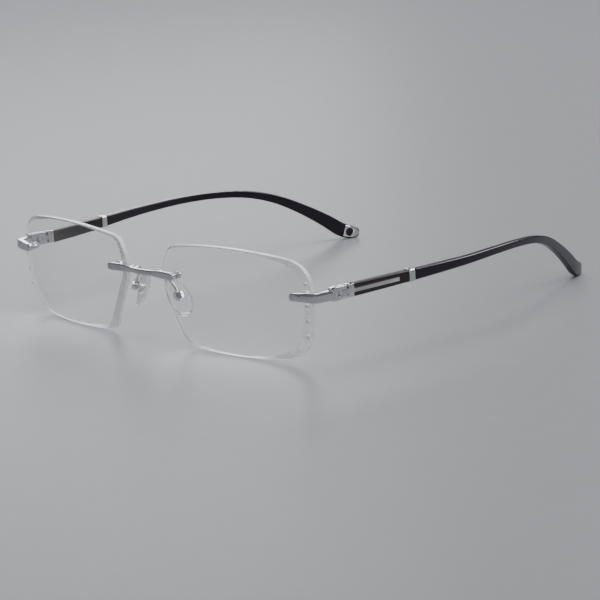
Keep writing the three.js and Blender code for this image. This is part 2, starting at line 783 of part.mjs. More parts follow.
// Front length, with its bore for the tang, its groove for the inlay and its socket for the arm's spigot.
function addFront() {
  const inlayEnd = temple.start + inlay.length;
  addPair("inlay", strip(temple.start, inlayEnd, inlay.height, inlay.sunk, inlay.proud), silver);
  const groove = strip(temple.start - 1, inlayEnd + fitGap, inlay.height + 2 * fitGap, inlay.sunk + fitGap, 2);
  const socket = spigotBetween(temple.ringStart - temple.spigot - 0.2, temple.ringStart + 1, 2 * fitGap);
  const front = templeLength(temple.start, temple.ringStart - fitGap, 12)
    .subtract(tang(fitGap))
    .subtract(groove)
    .subtract(socket);
  addPair("temple_front", front, black);

  const ringProud = 0.55;
  const bore = spigotBetween(temple.ringStart - 1, temple.ringEnd + 1, 2 * fitGap);
  const collar = templeLength(temple.ringStart, temple.ringEnd, 2, { grow: ringProud }).subtract(bore);
  addPair("ring", collar, silver);
}
addFront();

// Arm, with the spigot in front, and flat under its tip where it rests. A metal plate with a black dot lies in the
// tip's inner face.
function addArm() {
  const plateCentre = 70.6;
  const dot = { radius: 1.35, ahead: 0.7 };
  const sunk = 0.4;
  // The plate's outline, square in front and round behind, in the frame of its seat: along the tip, and down.
  const tipPlate = (grow) => {
    const [front, bend, end] = [-1.35 - grow, 1.6, 4.4 + grow];
    const [top, bottom] = [-2.1 - grow, 1.85 + grow];
    const shape = new THREE.Shape();
    shape.moveTo(front, top);
    shape.lineTo(bend, top + 0.05);
    shape.quadraticCurveTo(end - 0.5, top + 0.2, end, -0.35);
    shape.quadraticCurveTo(end - 0.4, bottom - 0.35, bend, bottom - 0.1);
    shape.lineTo(front, bottom);
    return shape;
  };
  const share = shareAt(plateCentre);
  const { at, along, across } = placeOn(templePath.line, share);
  const inward = across.clone().negate();
  const seatAt = at.addScaledVector(inward, templePath.sizes.getPoint(share).x / 2 - sunk);
  const seatFrame = new THREE.Matrix4().makeBasis(along, inward.clone().cross(along), inward).setPosition(seatAt);
  const raised = seatFrame.clone().multiply(new THREE.Matrix4().makeTranslation(0, 0, fitGap));
  const dotAt = seatAt.clone().addScaledVector(along, dot.ahead);
  const dotSeat = 0.2;
  const metal = plate(tipPlate(0), sunk, raised).subtract(rod(dot.radius + fitGap, dotAt, inward, dotSeat, 3, 24));
  addPair("tip_plate", metal, silver);
  addPair("tip_dot", rod(dot.radius, dotAt, inward, dotSeat + fitGap, sunk + 0.2, 24), black);

  const spigot = spigotBetween(temple.ringStart - temple.spigot, temple.ringEnd + 0.5);
  const underFloor = block(vec(30, 40, -10), vec(80, 90, 0));
  const arm = union(templeLength(temple.ringEnd + fitGap, tipEnd, 48), spigot)
    .subtract(underFloor)
    .subtract(plate(tipPlate(fitGap), 3, seatFrame));
  addPair("temple_arm", arm, black);
}
addArm();

export default root;
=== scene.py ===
import math

import bmesh
import bpy
from mathutils import Matrix, Vector


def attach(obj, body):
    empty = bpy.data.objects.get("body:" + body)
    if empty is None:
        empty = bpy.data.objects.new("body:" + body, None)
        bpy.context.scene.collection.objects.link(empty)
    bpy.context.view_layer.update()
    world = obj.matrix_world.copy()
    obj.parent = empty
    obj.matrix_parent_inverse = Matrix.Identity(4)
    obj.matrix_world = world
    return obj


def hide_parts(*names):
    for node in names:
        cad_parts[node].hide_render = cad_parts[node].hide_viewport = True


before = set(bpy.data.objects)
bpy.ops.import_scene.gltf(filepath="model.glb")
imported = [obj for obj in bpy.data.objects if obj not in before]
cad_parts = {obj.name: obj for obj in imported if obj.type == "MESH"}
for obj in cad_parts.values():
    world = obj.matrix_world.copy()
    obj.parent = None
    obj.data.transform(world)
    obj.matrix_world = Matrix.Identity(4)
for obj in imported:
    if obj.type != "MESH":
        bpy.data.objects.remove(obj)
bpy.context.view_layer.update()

print("frame loaded")

# Lengths are in millimetres until toFrame turns them into metres in the shared frame.
millimetre = 0.001
middleShift = 0.41  # from the middle of these drawings to the frame's own
upright = Vector((0, 0, 1))
squareOn = ((1, 0, 0), (0, 1, 0), (0, 0, 1))
meshForm = {
    "weld": 1e-7, "cadWeld": 2e-6,  # metres within which points become one
    "flat": 1.0,  # degrees below which two CAD faces are one
    "rimSteps": 3, "rimCorner": 40,  # steps of a bevelled rim, and the sharpness that gets one
    "cornerPoints": 7,  # on each corner of a rounded oblong
    "tooClose": 1e-4,  # a spacing that can't steer a smooth line
}


def toFrame(point):
    return Vector((point[0], point[1] + middleShift, point[2])) * millimetre


def clearSelection():
    if bpy.context.object and bpy.context.object.mode != "OBJECT":
        bpy.ops.object.mode_set(mode="OBJECT")
    bpy.ops.object.select_all(action="DESELECT")


def pick(piece):
    clearSelection()
    piece.select_set(True)
    bpy.context.view_layer.objects.active = piece


def applyModifier(piece, kind, values):
    modifier = piece.modifiers.new(kind.lower(), kind)
    for key, value in values.items():
        setattr(modifier, key, value)
    pick(piece)
    bpy.ops.object.modifier_apply(modifier=modifier.name)


def bevelRims(piece, rim, steps=meshForm["rimSteps"], corner=meshForm["rimCorner"]):
    applyModifier(piece, "BEVEL", {
        "width": rim * millimetre, "segments": steps,
        "limit_method": "ANGLE", "angle_limit": math.radians(corner),
    })


def smooth(piece, degrees):
    pick(piece)
    bpy.ops.object.shade_smooth_by_angle(angle=math.radians(degrees))


def editAll(piece):
    pick(piece)
    bpy.ops.object.mode_set(mode="EDIT")
    bpy.ops.mesh.select_mode(type="VERT")
    bpy.ops.mesh.select_all(action="SELECT")


# Fills the last ring, which is still selected, and then the first one.
def fillEnds(piece, sides):
    bpy.ops.mesh.edge_face_add()
    bpy.ops.mesh.select_all(action="DESELECT")
    mesh = bmesh.from_edit_mesh(piece.data)
    mesh.verts.ensure_lookup_table()
    for i in range(sides):
        mesh.verts[i].select = True
    mesh.select_flush(True)
    bmesh.update_edit_mesh(piece.data)
    bpy.ops.mesh.edge_face_add()


# A circle is extruded from ring to ring, and its points are put in their places on each one.
def sweep(name, rings, bands=None, closed=False):
    clearSelection()
    sides = len(rings[0])
    bpy.ops.mesh.primitive_circle_add(vertices=sides, radius=millimetre)
    piece = bpy.context.object
    piece.name = name
    piece.data.name = name
    editAll(piece)
    mesh = bmesh.from_edit_mesh(piece.data)
    mesh.verts.ensure_lookup_table()
    places = {}
    for i in range(sides):
        mesh.verts[i].co = toFrame(rings[0][i])
        places[tuple(mesh.verts[i].co)] = i
    for band, ring in enumerate(rings[1:]):
        bpy.ops.mesh.extrude_region_move()
        mesh = bmesh.from_edit_mesh(piece.data)
        moved = {}
        for vert in mesh.verts:
            if vert.select:
                i = places[tuple(vert.co)]
                vert.co = toFrame(ring[i])
                moved[tuple(vert.co)] = i
        places = moved
        mesh.faces.ensure_lookup_table()
        for face in mesh.faces[-sides:]:
            face.material_index = bands[band] if bands else 0
    if closed:
        bpy.ops.mesh.select_all(action="SELECT")
        bpy.ops.mesh.remove_doubles(threshold=meshForm["weld"])
    else:
        fillEnds(piece, sides)
    bpy.ops.mesh.select_all(action="SELECT")
    bpy.ops.mesh.normals_make_consistent(inside=False)
    bpy.ops.object.mode_set(mode="OBJECT")
    return piece


# A smooth line through points of any number of values, at a share of the way through them.
def through(points, share):
    def apart(a, b):
        return sum((x - y) ** 2 for x, y in zip(a, b)) ** 0.25 or 1.0

    last = len(points) - 1
    spot = min(max(share, 0.0), 1.0) * last
    k = min(int(spot), last - 1)
    t = spot - k
    b, c = points[k], points[k + 1]
    a = points[k - 1] if k > 0 else [2 * x - y for x, y in zip(b, c)]
    d = points[k + 2] if k + 2 <= last else [2 * y - x for x, y in zip(b, c)]
    ab, bc, cd = apart(a, b), apart(b, c), apart(c, d)
    if bc < meshForm["tooClose"]:
        bc = 1.0
    ab = bc if ab < meshForm["tooClose"] else ab
    cd = bc if cd < meshForm["tooClose"] else cd
    out = []
    for w, x, y, z in zip(a, b, c, d):
        m = ((x - w) / ab - (y - w) / (ab + bc) + (y - x) / bc) * bc
        n = ((y - x) / bc - (z - x) / (bc + cd) + (z - y) / cd) * bc
        out.append(x + m * t + (3 * (y - x) - 2 * m - n) * t * t + (2 * (x - y) + m + n) * t**3)
    return out


# A rounded oblong section: the corner's radius is a share of the shorter half side.
def oblong(centre, across, up, width, height, roundness):
    perCorner = meshForm["cornerPoints"]
    radius = min(width, height) / 2 * roundness
    ring = []
    for corner, (sideways, upwards) in enumerate(((1, 1), (-1, 1), (-1, -1), (1, -1))):
        for k in range(perCorner):
            angle = math.pi / 2 * (corner + k / (perCorner - 1))
            x = sideways * (width / 2 - radius) + radius * math.cos(angle)
            y = upwards * (height / 2 - radius) + radius * math.sin(angle)
            ring.append(centre + across * x + up * y)
    return ring


# A circle with as many points as the oblong, so that one can be swept into the other.
def circleLike(centre, across, up, radius):
    return oblong(centre, across, up, 2 * radius, 2 * radius, 1.0)


def roundSection(centre, across, up, radius, sides):
    turns = [2 * math.pi * k / sides for k in range(sides)]
    return [centre + across * radius * math.cos(a) + up * radius * math.sin(a) for a in turns]


# A cylinder that lies along a direction, between two distances from its start.
def rod(name, start, direction, begin, end, radius, sides, rim=0.0):
    clearSelection()
    bpy.ops.mesh.primitive_cylinder_add(
        vertices=sides, radius=radius * millimetre, depth=(end - begin) * millimetre,
        location=toFrame(start + direction * (begin + end) / 2),
        rotation=direction.to_track_quat("Z", "Y").to_euler(),
    )
    piece = bpy.context.object
    piece.name = name
    bpy.ops.object.transform_apply(location=True, rotation=True, scale=True)
    if rim:
        bevelRims(piece, rim)
    return piece


# A box in its own directions, from its middle and its sizes.
def boxPiece(name, middle, directions, sizes, rim=0.0):
    clearSelection()
    bpy.ops.mesh.primitive_cube_add(size=millimetre, location=(0, 0, 0))
    piece = bpy.context.object
    piece.name = name
    turn = Matrix(directions).transposed().to_4x4()
    stretch = Matrix.Diagonal((*sizes, 1))
    piece.data.transform(Matrix.Translation(toFrame(middle)) @ turn @ stretch)
    if rim:
        bevelRims(piece, rim)
    return piece


def cutAway(piece, cutters):
    for cutter in cutters:
        values = {"operation": "DIFFERENCE", "solver": "EXACT", "object": cutter}
        applyModifier(piece, "BOOLEAN", values)
        bpy.data.objects.remove(cutter)


def joinInto(piece, others):
    pick(piece)
    for other in others:
        other.select_set(True)
    bpy.ops.object.join()
    return piece


def newGroup(name, inputs, outputs):
    group = bpy.data.node_groups.new(name, "ShaderNodeTree")
    for label, value in inputs:
        socket = group.interface.new_socket(
            name=label, in_out="INPUT", socket_type="NodeSocketFloat"
        )
        socket.default_value = value
    for label, kind in outputs:
        group.interface.new_socket(name=label, in_out="OUTPUT", socket_type=kind)
    return group, group.nodes.new("NodeGroupInput"), group.nodes.new("NodeGroupOutput")


def node(tree, kind, values=None, **settings):
    made = tree.nodes.new(kind)
    for key, value in settings.items():
        setattr(made, key, value)
    for key, value in (values or {}).items():
        made.inputs[key].default_value = value
    return made


bumpHeight = {"Distance": 0.0001}
handledForm = {
    "stretch": {"Scale": (1.0, 6.0, 2.2), "Rotation": (0.4, 0.7, 0.3)},
    "scratch": {"Detail": 5.0, "Roughness": 0.6, "Distortion": 0.8},
    "smear": {"Scale": 140.0, "Detail": 3.0, "Roughness": 0.55},
    "fine": {"From Min": 0.42, "From Max": 0.62},  # part of the noise that shows as scratches
    "broad": {"From Min": 0.4, "From Max": 0.68},  # and as smears
    "scratchShare": 0.35,
}


# Fine scratches that lie in no one direction, and smears: a mask and a bumped normal.
def makeHandledSurface():
    group, given, made = newGroup(
        "handledSurface",
        [("Scale", 900.0), ("Smears", 0.5), ("Relief", 0.02)],
        [("Mask", "NodeSocketFloat"), ("Normal", "NodeSocketVector")],
    )
    link = group.links.new
    place = node(group, "ShaderNodeTexCoord")
    stretch = node(group, "ShaderNodeMapping", handledForm["stretch"])
    link(place.outputs["Object"], stretch.inputs["Vector"])
    scratch = node(group, "ShaderNodeTexNoise", handledForm["scratch"])
    link(stretch.outputs["Vector"], scratch.inputs["Vector"])
    link(given.outputs["Scale"], scratch.inputs["Scale"])
    smear = node(group, "ShaderNodeTexNoise", handledForm["smear"])
    link(place.outputs["Object"], smear.inputs["Vector"])
    fine = node(group, "ShaderNodeMapRange", handledForm["fine"])
    link(scratch.outputs["Fac"], fine.inputs["Value"])
    broad = node(group, "ShaderNodeMapRange", handledForm["broad"])
    link(smear.outputs["Fac"], broad.inputs["Value"])
    smeared = node(group, "ShaderNodeMath", operation="MULTIPLY")
    link(broad.outputs["Result"], smeared.inputs[0])
    link(given.outputs["Smears"], smeared.inputs[1])
    scratchShare = {1: handledForm["scratchShare"]}
    scratched = node(group, "ShaderNodeMath", scratchShare, operation="MULTIPLY")
    link(fine.outputs["Result"], scratched.inputs[0])
    both = node(group, "ShaderNodeMath", operation="ADD", use_clamp=True)
    link(smeared.outputs["Value"], both.inputs[0])
    link(scratched.outputs["Value"], both.inputs[1])
    bump = node(group, "ShaderNodeBump", bumpHeight)
    link(given.outputs["Relief"], bump.inputs["Strength"])
    link(scratch.outputs["Fac"], bump.inputs["Height"])
    link(both.outputs["Value"], made.inputs["Mask"])
    link(bump.outputs["Normal"], made.inputs["Normal"])
    return group


mouldedForm = {
    "grain": {"Detail": 4.0, "Roughness": 0.65}, "waves": {"Scale": 90.0, "Detail": 2.0},
    "waveShare": {"Factor": 0.6},
}


# Moulded grain: a soft pebble, and slow waves where the material sank as it set.
def makeMouldedGrain():
    group, given, made = newGroup(
        "mouldedGrain",
        [("Grain Size", 2600.0), ("Relief", 0.03)],
        [
            ("Grain", "NodeSocketFloat"), ("Waves", "NodeSocketFloat"),
            ("Normal", "NodeSocketVector"),
        ],
    )
    link = group.links.new
    place = node(group, "ShaderNodeTexCoord")
    grain = node(group, "ShaderNodeTexNoise", mouldedForm["grain"])
    link(place.outputs["Object"], grain.inputs["Vector"])
    link(given.outputs["Grain Size"], grain.inputs["Scale"])
    waves = node(group, "ShaderNodeTexNoise", mouldedForm["waves"])
    link(place.outputs["Object"], waves.inputs["Vector"])
    height = node(group, "ShaderNodeMix", mouldedForm["waveShare"], data_type="FLOAT")
    link(grain.outputs["Fac"], height.inputs[2])
    link(waves.outputs["Fac"], height.inputs[3])
    bump = node(group, "ShaderNodeBump", bumpHeight)
    link(given.outputs["Relief"], bump.inputs["Strength"])
    link(height.outputs[0], bump.inputs["Height"])
    link(grain.outputs["Fac"], made.inputs["Grain"])
    link(waves.outputs["Fac"], made.inputs["Waves"])
    link(bump.outputs["Normal"], made.inputs["Normal"])
    return group


handledSurface = makeHandledSurface()
mouldedGrain = makeMouldedGrain()
handled = (handledSurface, "Mask", "Mask")  # the effect, its mask for colour and for roughness
moulded = (mouldedGrain, "Waves", "Grain")


def newFinish(name, constants):
    finish = bpy.data.materials.new(name)
    finish.use_nodes = True
    tree = finish.node_tree
    tree.nodes.clear()
    shader = node(tree, "ShaderNodeBsdfPrincipled", constants)
    out = node(tree, "ShaderNodeOutputMaterial")
    tree.links.new(shader.outputs["BSDF"], out.inputs["Surface"])
    return finish, tree, shader, out


def useGroup(tree, group, values):
    made = tree.nodes.new("ShaderNodeGroup")
    made.node_tree = group
    for key, value in values.items():
        made.inputs[key].default_value = value
    return made


def between(tree, factor, low, high, socket):
    spread = node(tree, "ShaderNodeMapRange", {"To Min": low, "To Max": high})
    tree.links.new(factor, spread.inputs["Value"])
    tree.links.new(spread.outputs["Result"], socket)


def betweenColours(tree, factor, low, high, socket):
    mix = node(tree, "ShaderNodeMix", data_type="RGBA")
    mix.inputs[6].default_value = (*low, 1)
    mix.inputs[7].default_value = (*high, 1)
    tree.links.new(factor, mix.inputs["Factor"])
    tree.links.new(mix.outputs[2], socket)


# Light goes straight through clear pieces, so that they don't cast a black shadow.
def letLightThrough(tree, shader, out, tint):
    path = node(tree, "ShaderNodeLightPath")
    clear = node(tree, "ShaderNodeBsdfTransparent", {"Color": (*tint, 1)})
    mix = node(tree, "ShaderNodeMixShader")
    tree.links.new(path.outputs["Is Shadow Ray"], mix.inputs["Fac"])
    tree.links.new(shader.outputs["BSDF"], mix.inputs[1])
    tree.links.new(clear.outputs["BSDF"], mix.inputs[2])
    tree.links.new(mix.outputs["Shader"], out.inputs["Surface"])


# Colours and roughness run from where the effect is least to where it is most.
def makeFinish(name, effect, values):
    group, colourMask, roughMask = effect
    finish, tree, shader, out = newFinish(name, values["shader"])
    surface = useGroup(tree, group, values["effect"])
    colourSocket, roughSocket = shader.inputs["Base Color"], shader.inputs["Roughness"]
    betweenColours(tree, surface.outputs[colourMask], *values["colours"], colourSocket)
    between(tree, surface.outputs[roughMask], *values["roughness"], roughSocket)
    tree.links.new(surface.outputs["Normal"], shader.inputs["Normal"])
    if "shadow" in values:
        letLightThrough(tree, shader, out, values["shadow"])
    return finish


silverValues = {
    "shader": {"Metallic": 1.0},
    "effect": {"Scale": 1500.0, "Smears": 0.6, "Relief": 0.03},
    "colours": ((0.72, 0.725, 0.74), (0.5, 0.505, 0.52)), "roughness": (0.05, 0.19),
}
polishedSilver = makeFinish("polishedSilver", handled, silverValues)

plasticShader = {"Specular IOR Level": 0.34, "Coat Weight": 0.03, "Coat Roughness": 0.08}
armValues = {
    "shader": plasticShader, "effect": {"Grain Size": 2600.0, "Relief": 0.05},
    "colours": ((0.006, 0.005, 0.009), (0.014, 0.011, 0.02)), "roughness": (0.16, 0.26),
}
armPlastic = makeFinish("blackArmPlastic", moulded, armValues)

frontValues = {  # slightly browner and rougher than the arm
    "shader": plasticShader, "effect": {"Grain Size": 1900.0, "Relief": 0.1},
    "colours": ((0.012, 0.0095, 0.0105), (0.03, 0.024, 0.025)), "roughness": (0.24, 0.4),
}
frontPlastic = makeFinish("brushedFrontPlastic", moulded, frontValues)

lensValues = {
    "shader": {"Transmission Weight": 1.0, "IOR": 1.5, "Specular IOR Level": 0.06},
    "effect": {"Scale": 500.0, "Smears": 0.7, "Relief": 0.004},
    "colours": ((0.985, 0.99, 0.995), (0.95, 0.96, 0.97)), "roughness": (0.0, 0.02),
    "shadow": (0.93, 0.94, 0.95),
}
lensGlass = makeFinish("lensGlass", handled, lensValues)

edgeValues = {
    "shader": {"Transmission Weight": 0.05, "IOR": 1.5},
    "effect": {"Scale": 1900.0, "Smears": 0.8, "Relief": 0.12},
    "colours": ((0.99, 0.99, 1.0), (0.93, 0.94, 0.97)), "roughness": (0.15, 0.4),
    "shadow": (0.75, 0.76, 0.78),
}
groundEdge = makeFinish("groundLensEdge", handled, edgeValues)

bevelValues = {
    "shader": {"Transmission Weight": 0.6, "IOR": 1.5},
    "effect": {"Scale": 850.0, "Smears": 0.9, "Relief": 0.8},
    "colours": ((0.99, 0.995, 1.0), (0.9, 0.92, 0.95)), "roughness": (0.02, 0.3),
    "shadow": (0.85, 0.86, 0.88),
}
cutBevel = makeFinish("cutLensBevel", handled, bevelValues)

padValues = {
    "shader": {"Transmission Weight": 0.86, "IOR": 1.42},
    "effect": {"Grain Size": 1200.0, "Relief": 0.05},
    "colours": ((0.96, 0.97, 0.98), (0.88, 0.9, 0.92)), "roughness": (0.05, 0.22),
    "shadow": (0.85, 0.86, 0.88),
}
clearPad = makeFinish("clearPadSilicone", moulded, padValues)

sleeveValues = {
    "shader": {"Transmission Weight": 0.9, "IOR": 1.46},
    "effect": {"Grain Size": 1800.0, "Relief": 0.05},
    "colours": ((0.9, 0.92, 0.93), (0.78, 0.8, 0.82)), "roughness": (0.1, 0.34),
    "shadow": (0.8, 0.82, 0.84),
}
clearSleeve = makeFinish("clearSleeveNylon", moulded, sleeveValues)

stoneValues = {
    "shader": {"Transmission Weight": 0.15, "IOR": 2.1},
    "effect": {"Scale": 2500.0, "Smears": 0.3, "Relief": 0.01},
    "colours": ((1.0, 1.0, 1.0), (0.86, 0.88, 0.93)), "roughness": (0.0, 0.08),
}
cutStone = makeFinish("cutStone", handled, stoneValues)

finishes = {  # by slot; the lens has one finish for its faces, one for the bevel, one for the edge
    "polished_metal": [polishedSilver],
    "black_plastic": [armPlastic],
    "lens_glass": [lensGlass, cutBevel, groundEdge],
    "clear_pad": [clearPad],
    "clear_sleeve": [clearSleeve],
    "stone": [cutStone],
}
print("finishes made")


def settle(piece, cadNode, body, slot):
    if not piece.data.materials:
        for finish in finishes[slot]:
            piece.data.materials.append(finish)
    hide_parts(cadNode)
    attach(piece, body)


def mirrored(piece, name):
    other = bpy.data.objects.new(name, piece.data.copy())
    other.data.name = name
    bpy.context.scene.collection.objects.link(other)
    other.data.transform(Matrix.Diagonal((-1, 1, 1, 1)))
    other.data.flip_normals()
    return other


cadNames = {
    "lens": "lens",
    "stoneTop": "gem_1", "stoneUpper": "gem_2", "stoneLower": "gem_3", "stoneBottom": "gem_4",
    "bridgeBush": "bridge_bush", "bridgeWasher": "bridge_washer", "bridgeNut": "bridge_nut",
    "endpieceBush": "endpiece_bush", "endpieceWasher": "endpiece_washer",
    "endpieceNut": "endpiece_nut",
    "nosePad": "nose_pad", "padCore": "pad_core", "padBox": "pad_box",
    "padScrew": "pad_screw", "padArm": "pad_arm",
    "endpiece": "endpiece", "hingeScrew": "hinge_screw", "templeJoint": "temple_joint",
    "inlay": "inlay", "templeFront": "temple_front", "templeRing": "ring",
    "tipPlate": "tip_plate", "tipDot": "tip_dot", "templeArm": "temple_arm",
}
bodySides = {
    "frame": ("frame", "frame"),
    "temple": ("left_temple", "right_temple"),
    "pad": ("left_pad", "right_pad"),
}


# The left piece as it was made, and its mirror image on the right.
def settlePair(piece, base, body, slot):
    other = mirrored(piece, base + "Right")
    piece.name = base + "Left"
    piece.data.name = piece.name
    leftBody, rightBody = bodySides[body]
    settle(piece, "left_" + cadNames[base], leftBody, slot)
    settle(other, "right_" + cadNames[base], rightBody, slot)


# A finished piece from a copy of a CAD solid: merged, made of whole faces, its edges bevelled.
def refined(nodeName, rim, steps=meshForm["rimSteps"], corner=28, smoothing=30):
    piece = bpy.data.objects.new(nodeName + "Refined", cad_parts[nodeName].data.copy())
    bpy.context.scene.collection.objects.link(piece)
    piece.data.materials.clear()
    editAll(piece)
    bpy.ops.mesh.customdata_custom_splitnormals_clear()
    bpy.ops.mesh.remove_doubles(threshold=meshForm["cadWeld"])
    bpy.ops.mesh.dissolve_limited(angle_limit=math.radians(meshForm["flat"]))
    bpy.ops.mesh.normals_make_consistent(inside=False)
    bpy.ops.object.mode_set(mode="OBJECT")
    if rim:
        bevelRims(piece, rim, steps, corner)
    smooth(piece, smoothing)
    return piece


def settleRefined(base, body, slot, *rim, **values):
    settlePair(refined("left_" + cadNames[base], *rim, **values), base, body, slot)


lensForm = {
    "centre": Vector((34.5, -72.95, 15.1)),
    "wrap": 6.9, "tilt": 4.1,  # degrees back towards the temple, and downwards
    "frontRadius": 131.7, "backRadius": 120.0, "thickness": 2.0,
    "foot": 0.04,  # how much is ground flat where it stands
    "backRim": 0.14, "leastWall": 0.05,
    "bevelLip": 0.3, "bevelSlope": 0.38,  # a bevel's depth, from its width
    "sideSteps": 26, "cornerSteps": 14, "measureSteps": 200,
    "nearCorner": 0.012,  # share of a side that is kept clear of the corner's points
    "evenings": 3,
    "faceShares": (0.02, 0.15, 0.3, 0.45, 0.6, 0.72, 0.82, 0.9, 0.96),
    "sharpness": 14,
}
# x, z, reach of the rounding, bevel there, bow and bevel of the side that follows
lensCorners = [
    (6.85, 21.6, 4.8, 1.1, 0.2, 1.5),
    (15.7, 0.7, 3.2, 1.9, 1.3, 0.6),
    (60.9, 1.7, 9.6, 2.2, 0.9, 1.75),
    (61.85, 30.0, 7.6, 1.5, 2.4, 0.25),
    (11.1, 30.8, 2.6, 0.7, 0.15, 0.8),
]
cornerCount = len(lensCorners)
wrap = math.radians(lensForm["wrap"])
tilt = math.radians(lensForm["tilt"])
lensAxis = Vector((
    math.sin(wrap) * math.cos(tilt), -math.cos(wrap) * math.cos(tilt), -math.sin(tilt)
))
frontMiddle = lensForm["centre"] - lensAxis * lensForm["frontRadius"]
backMiddle = lensForm["centre"] - lensAxis * (lensForm["thickness"] + lensForm["backRadius"])


def onSphere(middle, radius, x, z):
    deep = math.sqrt(radius**2 - (x - middle.x) ** 2 - (z - middle.z) ** 2)
    return Vector((x, middle.y - deep, z))


def onFront(x, z):
    return onSphere(frontMiddle, lensForm["frontRadius"], x, z)


def onBack(x, z):
    return onSphere(backMiddle, lensForm["backRadius"], x, z)


def frontNormal(point):
    return (point - frontMiddle).normalized()


def bend(a, b, c, t):
    return a * (1 - t) ** 2 + b * 2 * t * (1 - t) + c * t * t


def lensSide(i):
    a = Vector(lensCorners[i][:2])
    c = Vector(lensCorners[(i + 1) % cornerCount][:2])
    along = (c - a).normalized()
    b = (a + c) / 2 + Vector((along.y, -along.x)) * 2 * lensCorners[i][4]
    return a, b, c


def sideLength(i):
    steps = lensForm["measureSteps"]
    spots = [bend(*lensSide(i), k / steps) for k in range(steps + 1)]
    return sum((q - p).length for p, q in zip(spots, spots[1:]))


def bevelWidth(i, t):
    nearest = lensCorners[i][3] if t < 0.5 else lensCorners[(i + 1) % cornerCount][3]
    return lensCorners[i][5] + (nearest - lensCorners[i][5]) * (2 * t - 1) ** 2


def bevelDepth(width):
    return lensForm["bevelLip"] + lensForm["bevelSlope"] * width


def lensOutline():
    nearby = lensForm["nearCorner"]
    cornerSteps, sideSteps = lensForm["cornerSteps"], lensForm["sideSteps"]
    points = []
    for i, (x, z, reach, bevel, *_) in enumerate(lensCorners):
        before, after = (i - 1) % cornerCount, (i + 1) % cornerCount
        leave = reach / sideLength(i)
        arrive = 1 - lensCorners[after][2] / sideLength(i)
        start = bend(*lensSide(before), 1 - reach / sideLength(before))
        end = bend(*lensSide(i), leave)
        for k in range(cornerSteps + 1):
            points.append((bend(start, Vector((x, z)), end, k / cornerSteps), bevel))
        for k in range(1, sideSteps):
            t = k / sideSteps
            if leave + nearby < t < arrive - nearby:
                points.append((bend(*lensSide(i), t), bevelWidth(i, t)))
    widths = [bevel for _, bevel in points]
    count = len(points)
    for _ in range(lensForm["evenings"]):  # evens out the bevel where a side meets a corner
        widths = [sum(widths[(k + j) % count] for j in range(-2, 3)) / 5 for k in range(count)]
    return [(p, width) for (p, _), width in zip(points, widths)]


def studAt(x, z):
    point = onFront(x, z)
    return point, -frontNormal(point)


studForm = {
    "radius": 0.6, "length": 3.9, "sunk": 0.7, "sides": 28, "rim": 0.12,
    "hole": 1.0, "holeSpan": (-2, 6), "holeSides": 32,
    "bridge": (12.7, 21.8), "endpiece": (59.4, 20.8),  # x and z on the lens
}
bridgeStud = studAt(*studForm["bridge"])
endpieceStud = studAt(*studForm["endpiece"])
stoneForm = {
    "heights": (24.4, 17.9, 13.2, 8.5), "side": 2,  # the outer side of the lens
    "seatRadius": 0.7, "seatSpan": (-0.35, 2), "seatSides": 24,
    "rim": {"rim": 0.03, "steps": 1, "corner": 20, "smoothing": 5},
}


# Where a stone sits in the bevel, and which way it faces.
def stoneSeat(z):
    side = stoneForm["side"]
    low, high = lensCorners[side], lensCorners[side + 1]
    t = (z - low[1]) / (high[1] - low[1])
    edge = bend(*lensSide(side), t)
    width = bevelWidth(side, t)
    front = onFront(edge.x - width / 2, z)
    normal = frontNormal(front)
    outward = (Vector((1, 0, 0)) - normal * normal.x).normalized()
    facing = (outward * bevelDepth(width) + normal * width).normalized()
    return front - normal * bevelDepth(width) / 2, facing


def makeLens():
    outline = lensOutline()
    floor = min(p.y for p, _ in outline) + lensForm["foot"]
    backRim, shares = lensForm["backRim"], lensForm["faceShares"]
    count = len(outline)
    inner, edge, wall, rim = [], [], [], []
    for i, (p, bevel) in enumerate(outline):
        along = (outline[(i + 1) % count][0] - outline[i - 1][0]).normalized()
        z = max(p.y - floor, 0.0)
        inner.append(onFront(p.x - along.y * bevel, z + along.x * bevel))
        edge.append(onFront(p.x, z) + Vector((0, bevelDepth(bevel), 0)))
        wallY = max(onBack(p.x, z).y - backRim, edge[-1].y + lensForm["leastWall"])
        wall.append(Vector((p.x, wallY, z)))
        rim.append(onBack(p.x - along.y * backRim, z + along.x * backRim))
    middle = sum(inner, Vector()) / count

    def shrunk(ring, share, place):
        def inwards(value, centre):
            return centre + (value - centre) * share

        return [place(inwards(p.x, middle.x), inwards(p.z, middle.z)) for p in ring]

    rings = [shrunk(inner, share, onFront) for share in shares] + [inner, edge, wall, rim]
    rings += [shrunk(rim, share, onBack) for share in reversed(shares)]
    bands = [0] * len(shares) + [1, 2, 2] + [0] * len(shares)
    piece = sweep("lens", rings, bands)
    cutters = []
    for point, back in (bridgeStud, endpieceStud):
        hole = (*studForm["holeSpan"], studForm["hole"], studForm["holeSides"])
        cutters.append(rod("studHole", point, back, *hole))
    for z in stoneForm["heights"]:
        seat = (*stoneForm["seatSpan"], stoneForm["seatRadius"], stoneForm["seatSides"])
        cutters.append(rod("stoneSeat", *stoneSeat(z), *seat))
    cutAway(piece, cutters)
    smooth(piece, lensForm["sharpness"])
    return piece


settlePair(makeLens(), "lens", "frame", "lens_glass")
for base in ("stoneTop", "stoneUpper", "stoneLower", "stoneBottom"):
    settleRefined(base, "frame", "stone", **stoneForm["rim"])
print("lenses and stones made")

fixings = {  # rim and slot
    "Bush": (0.0, "clear_sleeve"), "Washer": (0.06, "clear_sleeve"),
    "Nut": (0.08, "polished_metal"),
}
for place in ("bridge", "endpiece"):
    for part, (rim, slot) in fixings.items():
        settleRefined(place + part, "frame", slot, rim)
print("fixings made")

